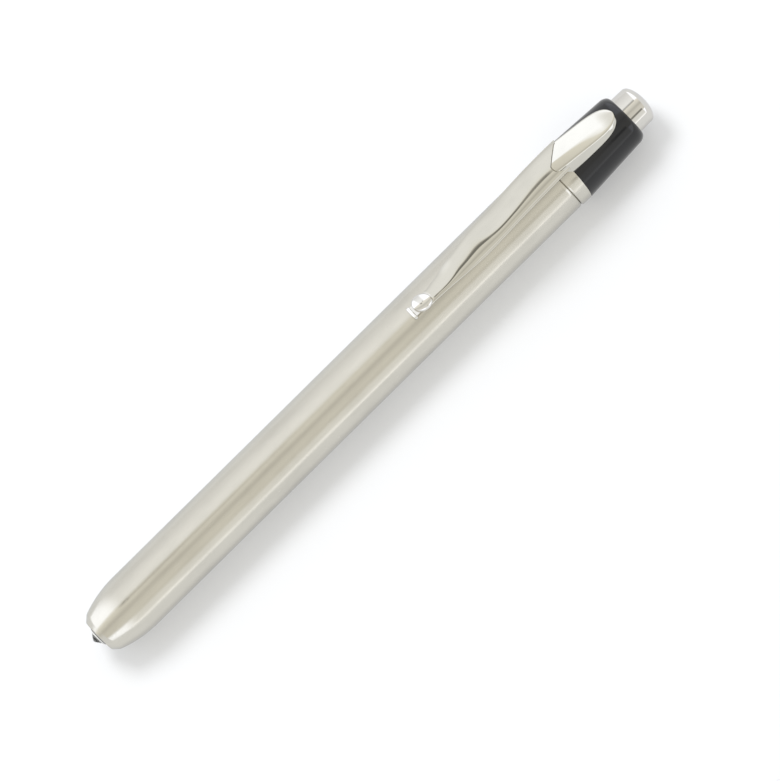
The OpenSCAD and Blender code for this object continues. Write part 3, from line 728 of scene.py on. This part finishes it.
def plastic(name, colour, rough, peel=0.25, mottle=0.15, subsurface=0.0, specular=0.5, shaded_span=None):
    """Moulded plastic with a faint orange peel and dull rubbed patches.
    A span of stations can be darkened in the colour as painted shade, for the shadow down in a groove."""
    material, tree, shader, coords = shader_nodes(name)
    cloud = noise(tree, coords, (0.35, 0.35, 0.35), 4.0)
    fine = noise(tree, coords, (4.0, 4.0, 4.0), 2.0)
    base = ramp(tree, cloud, [(0.3, tinted(colour, 1 - mottle)), (0.7, tinted(colour, 1 + mottle))])
    # Painted shade: the colour turns near black over this span of stations, for the shadow in the groove.
    if shaded_span:
        split = tree.nodes.new("ShaderNodeSeparateXYZ")
        tree.links.new(coords.outputs["Object"], split.inputs["Vector"])
        ends = [lie(a, 0, 0)[0] for a in shaded_span]
        painted_shade = ramp(tree, spread(tree, split.outputs["X"], 0.0, 1.0, ends),
                     [(0.0, (0, 0, 0)), (0.1, (1, 1, 1)), (0.9, (1, 1, 1)), (1.0, (0, 0, 0))])
        base = mixed(tree, painted_shade, base, tinted(colour, 0.2))
    tree.links.new(base, shader.inputs["Base Color"])
    tree.links.new(spread(tree, cloud, 0.8 * rough, 1.3 * rough), shader.inputs["Roughness"])
    shader.inputs["Specular IOR Level"].default_value = specular
    shader.inputs["Subsurface Weight"].default_value = subsurface
    shader.inputs["Subsurface Radius"].default_value = (0.4 * MM, 0.4 * MM, 0.35 * MM)
    bumped(tree, shader, fine, peel, 0.006)
    return material


def glass(name, colour):
    """Clear glass with faint cords in it."""
    material, tree, shader, coords = shader_nodes(name)
    shader.inputs["Transmission Weight"].default_value = 1.0
    shader.inputs["IOR"].default_value = 1.5
    cloud = noise(tree, coords, (0.5, 0.8, 0.8), 2.0)
    base = ramp(tree, cloud, [(0.3, tinted(colour, 0.97)), (0.7, colour)])
    tree.links.new(base, shader.inputs["Base Color"])
    tree.links.new(spread(tree, cloud, 0.01, 0.05), shader.inputs["Roughness"])
    bumped(tree, shader, cloud, 0.1, 0.01)
    return material


def film(name, colour, band):
    """Glossy film round a cell, with a plain paler band at one end."""
    material, tree, shader, coords = shader_nodes(name)
    split = tree.nodes.new("ShaderNodeSeparateXYZ")
    tree.links.new(coords.outputs["Generated"], split.inputs["Vector"])
    base = ramp(tree, split.outputs["X"], [(0.0, band), (0.2, band), (0.205, colour),
                                           (1.0, tinted(colour, 0.93))])
    tree.links.new(base, shader.inputs["Base Color"])
    cloud = noise(tree, coords, (0.3, 0.3, 0.3), 4.0)
    tree.links.new(spread(tree, cloud, 0.2, 0.38), shader.inputs["Roughness"])
    bumped(tree, shader, cloud, 0.12, 0.02)
    return material


# Point of the painted highlight on the clip's ball end.
CLIP_END = lie(BALL_A - 0.6, BALL_Y, BARREL_R + BALL_GAP + BALL_H / 2)
LENGTHWISE = (0.06, 7.0, 7.0)
ROUND = (9.0, 0.25, 0.25)
looks = {
    "satin_nickel": metal("satin_nickel", (0.68, 0.66, 0.595), 0.2, LENGTHWISE, (0.82, 0.83, 0.86)),
    # The clip's ball end gets a painted highlight in its colour.
    "bright_nickel": metal("bright_nickel", (0.67, 0.655, 0.595), 0.06, LENGTHWISE, (0.8, 0.8, 0.82),
                           bump=0.04, highlight_spot=(CLIP_END, 2.3, 2.8, (0.79, 0.78, 0.75))),
    "chrome": metal("chrome", (0.73, 0.715, 0.675), 0.06, ROUND, (0.9, 0.9, 0.92), bump=0.04),
    "black_plastic": plastic("black_plastic", (0.006, 0.0065, 0.008), 0.12, specular=0.52),
    "bulb_glass": glass("bulb_glass", (0.93, 0.95, 0.95)),
    # The bush's groove gets painted shade in its colour.
    "bush_nylon": plastic("bush_nylon", (0.74, 0.74, 0.72), 0.45, mottle=0.04, subsurface=0.2,
                          shaded_span=(-BUSH_GROOVE_LEN - 0.02, 0.1)),
    "brass": metal("brass", (0.80, 0.60, 0.28), 0.28, ROUND, tarnish=0.2),
    "spring_steel": metal("spring_steel", (0.60, 0.60, 0.58), 0.25, ROUND, tarnish=0.1),
    "cell_steel": metal("cell_steel", (0.68, 0.68, 0.67), 0.22, ROUND),
    "cell_jacket": film("cell_jacket", (0.05, 0.08, 0.14), (0.5, 0.5, 0.5)),
    "cell_seal": plastic("cell_seal", (0.05, 0.05, 0.05), 0.5),
    "bulb_insulator": plastic("bulb_insulator", (0.02, 0.02, 0.022), 0.12),
    "tungsten": metal("tungsten", (0.35, 0.34, 0.33), 0.35, ROUND, tarnish=0.15),
}
slots = {entry["node"]: entry["material_slot"] for entry in frame["record"]["subparts"]}
bodies = {node: body for body, members in frame["record"]["behaviour"]["bodies"].items() for node in members}

for node, thing in NODES.items():
    thing.data.materials.clear()
    thing.data.materials.append(looks[slots[node]])

made = {
    "barrel": make_barrel(),
    "lens_bush": make_bush(),
    "bulb_glass": make_glass(),
    "clip_band": make_band(),
    "collar": make_collar(),
    "push_button": make_button(),
    "ferrule": make_ferrule(),
    "clip_arm": make_arm(),
    "clip_tongue": make_tongue(),
    "battery_spring": make_coil("battery_coil", BATTERY_COIL_R, (CELLS_END_A, PLATE_A), BATTERY_TURNS,
                                BATTERY_WIRE_R),
    "return_spring": make_coil("return_coil", RETURN_COIL_R, (WEB_REAR_A, FLANGE_A), RETURN_TURNS,
                               RETURN_WIRE_R),
}
for node, piece in made.items():
    piece.data.materials.clear()
    piece.data.materials.append(looks[slots[node]])
    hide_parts(node)
    if node == "return_spring":
        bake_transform(piece)
    else:
        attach(piece, bodies[node])


# Floor, studio light and camera
FLOOR_COLOUR = (0.51, 0.52, 0.535)
FLOOR_LIFT = 0.3
MIRRORED_COLOUR = (0.25, 0.255, 0.26)
MIRRORED_LIFT = 0.54


def make_floor():
    """Pale floor, brightened to white where it is seen, with the object's shadow kept."""
    size = 3.0
    mesh = bpy.data.meshes.new("floor")
    corners = [(-size, -size, 0), (size, -size, 0), (size, size, 0), (-size, size, 0)]
    mesh.from_pydata(corners, [], [(0, 1, 2, 3)])
    floor = bpy.data.objects.new("floor", mesh)
    bpy.context.scene.collection.objects.link(floor)
    material, tree, shader, coords = shader_nodes("floor")
    shader.inputs["Roughness"].default_value = 1.0
    shader.inputs["Specular IOR Level"].default_value = 0.0
    shader.inputs["Emission Color"].default_value = (1.0, 1.0, 1.0, 1.0)
    path = tree.nodes.new("ShaderNodeLightPath")
    seen = joined(tree, "MAXIMUM", path.outputs["Is Camera Ray"], path.outputs["Is Transmission Ray"])
    mirrored = path.outputs["Is Glossy Ray"]
    colour = ramp(tree, mirrored, [(0.0, FLOOR_COLOUR), (1.0, MIRRORED_COLOUR)])
    tree.links.new(colour, shader.inputs["Base Color"])
    lift = joined(tree, "MAXIMUM", spread(tree, seen, 0.0, FLOOR_LIFT, (0.0, 1.0)),
                  spread(tree, mirrored, 0.0, MIRRORED_LIFT, (0.0, 1.0)))
    tree.links.new(lift, shader.inputs["Emission Strength"])
    mesh.materials.append(material)


# Studio light round the pen: an angle from straight up towards +Y, the light from there and its colour.
# The bands of light run along the pen and bend down over its ends, round a direction that leans to the
# near side
LEAN = math.radians(20.5)
WARM = (1.0, 0.97, 0.885)
WHITE = (1.0, 1.0, 1.0)
STUDIO = [(-90, 1.4, WHITE), (-84, 1.25, WHITE), (-79, 0.95, (1, 0.995, 0.97)), (-60, 0.93, (1, 0.99, 0.95)),
          (-57, 0.78, WARM), (-45, 0.83, WARM), (-32, 0.79, WARM), (-20, 0.63, WARM), (-9, 0.84, WARM),
          (7, 1.0, WARM), (11, 1.05, (1, 1, 0.98)), (16, 1.07, WHITE), (30, 1.07, WHITE), (55, 0.96, WHITE),
          (76, 0.87, WHITE), (90, 0.86, WHITE)]
# Shares by which that light changes, by the same angle and by the share along X: darker in one line over
# the clip's rising arm (red) and in two lines over the button (green), and brighter to both ends (blue)
LINES = [(-90, (0, 0, 1)), (-60, (0, 0, 1)), (-59, (0, 0, 0)), (-56, (0, 1, 0)), (-49, (0, 1, 0)),
         (-46, (0, 0, 0)), (-1.2, (0, 0, 0)), (0.3, (1, 0, 0)), (5, (1, 0, 0)), (7, (0.7, 0.7, 0)),
         (8, (0.3, 0.7, 0)), (9, (0, 0.7, 0.4)), (14, (0, 0.7, 1)), (17, (0, 0, 1)), (90, (0, 0, 1))]
ALONG = [(-0.4, (0, 0, 1)), (-0.3, (0, 0, 0.5)), (-0.2, (1, 0, 0)), (-0.07, (1, 0, 0)), (-0.02, (0, 0, 0)),
         (0.07, (0, 0, 0)), (0.085, (0, 1, 0)), (0.15, (0, 1, 0)), (0.17, (0, 0, 0)), (0.2, (0, 0, 0)),
         (0.4, (0, 0, 1))]
ARM_CHANGE = -0.75
BUTTON_CHANGE = -0.65
END_CHANGE = 0.47
END_TINT = (1.0, 1.02, 1.085)


def make_light():
    world = bpy.data.worlds.new("studio")
    bpy.context.scene.world = world
    world.use_nodes = True
    tree = world.node_tree
    background = tree.nodes["Background"]
    coords = tree.nodes.new("ShaderNodeTexCoord")
    split = tree.nodes.new("ShaderNodeSeparateXYZ")
    tree.links.new(coords.outputs["Generated"], split.inputs["Vector"])
    lean_y, lean_z = math.sin(LEAN), math.cos(LEAN)
    turn = joined(tree, "ARCTAN2", spread(tree, split.outputs["Y"], -1 - lean_y, 1 - lean_y, (-1.0, 1.0)),
                  spread(tree, split.outputs["Z"], -1 + lean_z, 1 + lean_z, (-1.0, 1.0)))
    share = spread(tree, turn, 0.0, 1.0, (-(math.pi / 2 + LEAN) / 2, (math.pi / 2 - LEAN) / 2))
    along = spread(tree, split.outputs["X"], 0.0, 1.0, (-1.0, 1.0))
    around = ramp(tree, share, [((angle + 90) / 180, tuple(level * c for c in tint))
                                for angle, level, tint in STUDIO])
    masks = []
    for value, stops in ((share, [((angle + 90) / 180, mask) for angle, mask in LINES]),
                         (along, [((x + 1) / 2, mask) for x, mask in ALONG])):
        node = tree.nodes.new("ShaderNodeSeparateColor")
        tree.links.new(ramp(tree, value, stops), node.inputs["Color"])
        masks.append(node)
    arm, button, ends = [joined(tree, "MULTIPLY", masks[0].outputs[channel], masks[1].outputs[channel])
                         for channel in ("Red", "Green", "Blue")]
    strength = spread(tree, arm, 1.0, 1.0 + ARM_CHANGE, (0.0, 1.0))
    strength = joined(tree, "ADD", strength, spread(tree, button, 0.0, BUTTON_CHANGE, (0.0, 1.0)))
    strength = joined(tree, "ADD", strength, spread(tree, ends, 0.0, END_CHANGE, (0.0, 1.0)))
    tree.links.new(mixed(tree, ends, around, END_TINT), background.inputs["Color"])
    tree.links.new(strength, background.inputs["Strength"])
    lamp = bpy.data.lights.new("key", "AREA")
    lamp.shape = "DISK"
    lamp.size = 0.34
    lamp.energy = 3.6
    key = bpy.data.objects.new("key", lamp)
    key.location = (0.0, 0.4, 0.69)
    key.rotation_euler = (-math.radians(30), 0.0, 0.0)
    key.visible_camera = False
    key.visible_glossy = False
    bpy.context.scene.collection.objects.link(key)


def make_camera():
    """Camera above the near side, turned so that the pen runs up to the right."""
    elevation, roll = math.radians(69.5), math.radians(44.63)
    distance, frame_width = 1.2, 138.43 * MM
    aim_right, aim_down = 0.115 * MM, 5.25 * MM
    up = Vector((0, math.sin(elevation), math.cos(elevation)))
    back = Vector((0, -math.cos(elevation), math.sin(elevation)))
    along = Vector((1, 0, 0))
    right = math.cos(roll) * along - math.sin(roll) * up
    top = math.sin(roll) * along + math.cos(roll) * up
    aim = Vector((aim_right, 0, BAND_R * MM)) - aim_down * up
    data = bpy.data.cameras.new("camera")
    data.sensor_fit = "HORIZONTAL"
    data.sensor_width = 36.0
    data.lens = 36.0 * distance / frame_width
    camera = bpy.data.objects.new("camera", data)
    bpy.context.scene.collection.objects.link(camera)
    turn = Matrix((right, top, back)).transposed().to_4x4()
    camera.matrix_world = Matrix.Translation(aim + distance * back) @ turn
    bpy.context.scene.camera = camera


make_floor()
make_light()
make_camera()
bpy.context.scene.view_settings.view_transform = "Standard"
